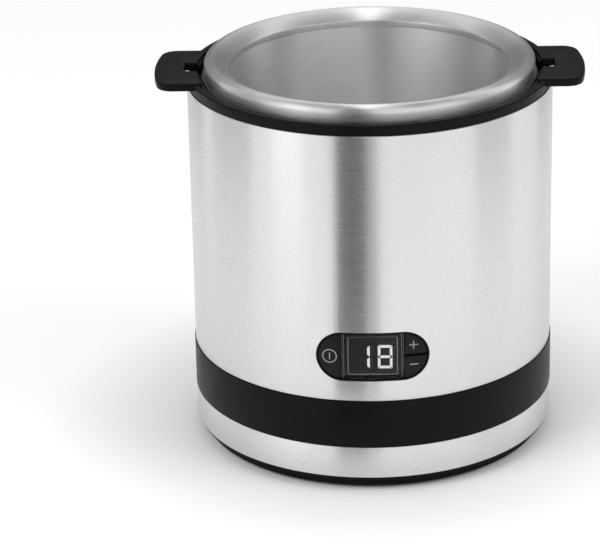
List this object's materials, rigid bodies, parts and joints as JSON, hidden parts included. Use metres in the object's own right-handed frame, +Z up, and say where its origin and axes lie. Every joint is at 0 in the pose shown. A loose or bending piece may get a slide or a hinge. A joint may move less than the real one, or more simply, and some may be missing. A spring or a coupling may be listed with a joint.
{
  "type": "frozen yogurt maker",
  "caption": "Round steel counter-top frozen-yogurt maker: a geared motor turns a lift-out freezer bowl in an eared ring, with a timer display and keys.",
  "frame": {"origin": "on the table, under the centre of the body", "axes": "+Z up, -Y towards the display, +X towards the right-hand ear"},
  "size_m": [0.1856, 0.1588, 0.1714],
  "materials": {
    "brushed_steel": "brushed round the body",
    "satin_steel": "satin",
    "black_satin": "fine satin",
    "black_base": "satin",
    "rubber": "matt",
    "panel_black": "gloss",
    "key_black": "semi-gloss",
    "smoked_window": "clear, smoked",
    "display_dark": "matt",
    "lit_white": "lit from behind",
    "screw_zinc": "zinc",
    "grey_plastic": "moulded",
    "white_plastic": "moulded",
    "jacket_plastic": "moulded",
    "coolant_gel": "gel",
    "hub_plastic": "moulded",
    "shaft_steel": "ground",
    "brass": "turned",
    "motor_steel": "zinc plated",
    "motor_plastic": "moulded",
    "magnet": "sintered",
    "armature": "laminated and wound",
    "board_green": "solder mask",
    "transformer_wrap": "taped",
    "capacitor_sleeve": "sleeved",
    "fuse_glass": "clear",
    "lead_red": "insulation",
    "ribbon_grey": "insulation"
  },
  "bodies": {
    "housing": {"upper_sleeve": "brushed_steel", "lower_sleeve": "brushed_steel", "middle_band": "black_satin", "top_collar": "black_satin", "base_pan": "black_base", "rubber_feet": "rubber", "shaft_seal": "rubber", "cord_gland": "rubber", "panel_frame": "panel_black", "display_window": "smoked_window", "display_module": "display_dark", "lit_digits": "lit_white", "base_screws": "screw_zinc", "chassis_screws": "screw_zinc", "gearbox_screws": "screw_zinc", "motor_screws": "screw_zinc", "board_screws": "screw_zinc", "power_board_screws": "screw_zinc", "well_screws": "screw_zinc", "chassis_plate": "grey_plastic", "inner_well": "grey_plastic", "gearbox_case": "grey_plastic", "gearbox_cover": "grey_plastic", "thrust_washer": "white_plastic", "stage_axle": "shaft_steel", "output_bushes": "brass", "motor_bushes": "brass", "motor_can": "motor_steel", "motor_end_bell": "motor_plastic", "tact_switches": "motor_plastic", "motor_magnets": "magnet", "control_board": "board_green", "power_board": "board_green", "transformer": "transformer_wrap", "capacitors": "capacitor_sleeve", "fuse": "fuse_glass", "motor_leads": "lead_red", "panel_ribbon": "ribbon_grey"},
    "handle_ring": {"handle_ring": "black_satin", "slide_ring": "hub_plastic"},
    "bowl": {"bowl_liner": "satin_steel", "bowl_jacket": "jacket_plastic", "bowl_seal": "white_plastic", "coolant_fill": "coolant_gel", "bowl_socket": "jacket_plastic"},
    "output_drive": {"drive_hub": "hub_plastic", "drive_pin": "shaft_steel", "output_shaft": "shaft_steel", "output_gear": "white_plastic"},
    "stage": {"stage_gear": "white_plastic"},
    "motor_rotor": {"motor_shaft": "shaft_steel", "motor_armature": "armature", "motor_pinion": "brass"},
    "power_key": {"power_button": "key_black", "power_plunger": "white_plastic"},
    "plus_key": {"plus_button": "key_black", "plus_plunger": "white_plastic"},
    "minus_key": {"minus_button": "key_black", "minus_plunger": "white_plastic"}
  },
  "joints": [
    {"name": "bowl_lift", "type": "slide", "parent": "housing", "child": "handle_ring", "axis": [0, 0, 1], "range_m": [0, 0.1]},
    {"name": "bowl_spin", "type": "hinge", "parent": "handle_ring", "child": "bowl", "pos_m": [0, 0, 0.12], "axis": [0, 0, 1], "continuous": true},
    {"name": "output_spin", "type": "hinge", "parent": "housing", "child": "output_drive", "pos_m": [0, 0, 0.07], "axis": [0, 0, 1], "continuous": true},
    {"name": "stage_spin", "type": "hinge", "parent": "housing", "child": "stage", "pos_m": [0, 0.03, 0.06], "axis": [0, 0, 1], "continuous": true},
    {"name": "motor_spin", "type": "hinge", "parent": "housing", "child": "motor_rotor", "pos_m": [0.01949, 0.01875, 0.03], "axis": [0, 0, 1], "continuous": true},
    {"name": "power_press", "type": "slide", "parent": "housing", "child": "power_key", "axis": [0, 1, 0], "range_m": [0, 0.0008], "stiffness_N_per_m": 1500},
    {"name": "plus_press", "type": "slide", "parent": "housing", "child": "plus_key", "axis": [0, 1, 0], "range_m": [0, 0.0008], "stiffness_N_per_m": 1500},
    {"name": "minus_press", "type": "slide", "parent": "housing", "child": "minus_key", "axis": [0, 1, 0], "range_m": [0, 0.0008], "stiffness_N_per_m": 1500}
  ],
  "couplings": [
    {"joint": "output_spin", "follows": "bowl_spin", "ratio": 1},
    {"joint": "stage_spin", "follows": "bowl_spin", "ratio": -4},
    {"joint": "motor_spin", "follows": "bowl_spin", "ratio": 16}
  ]
}
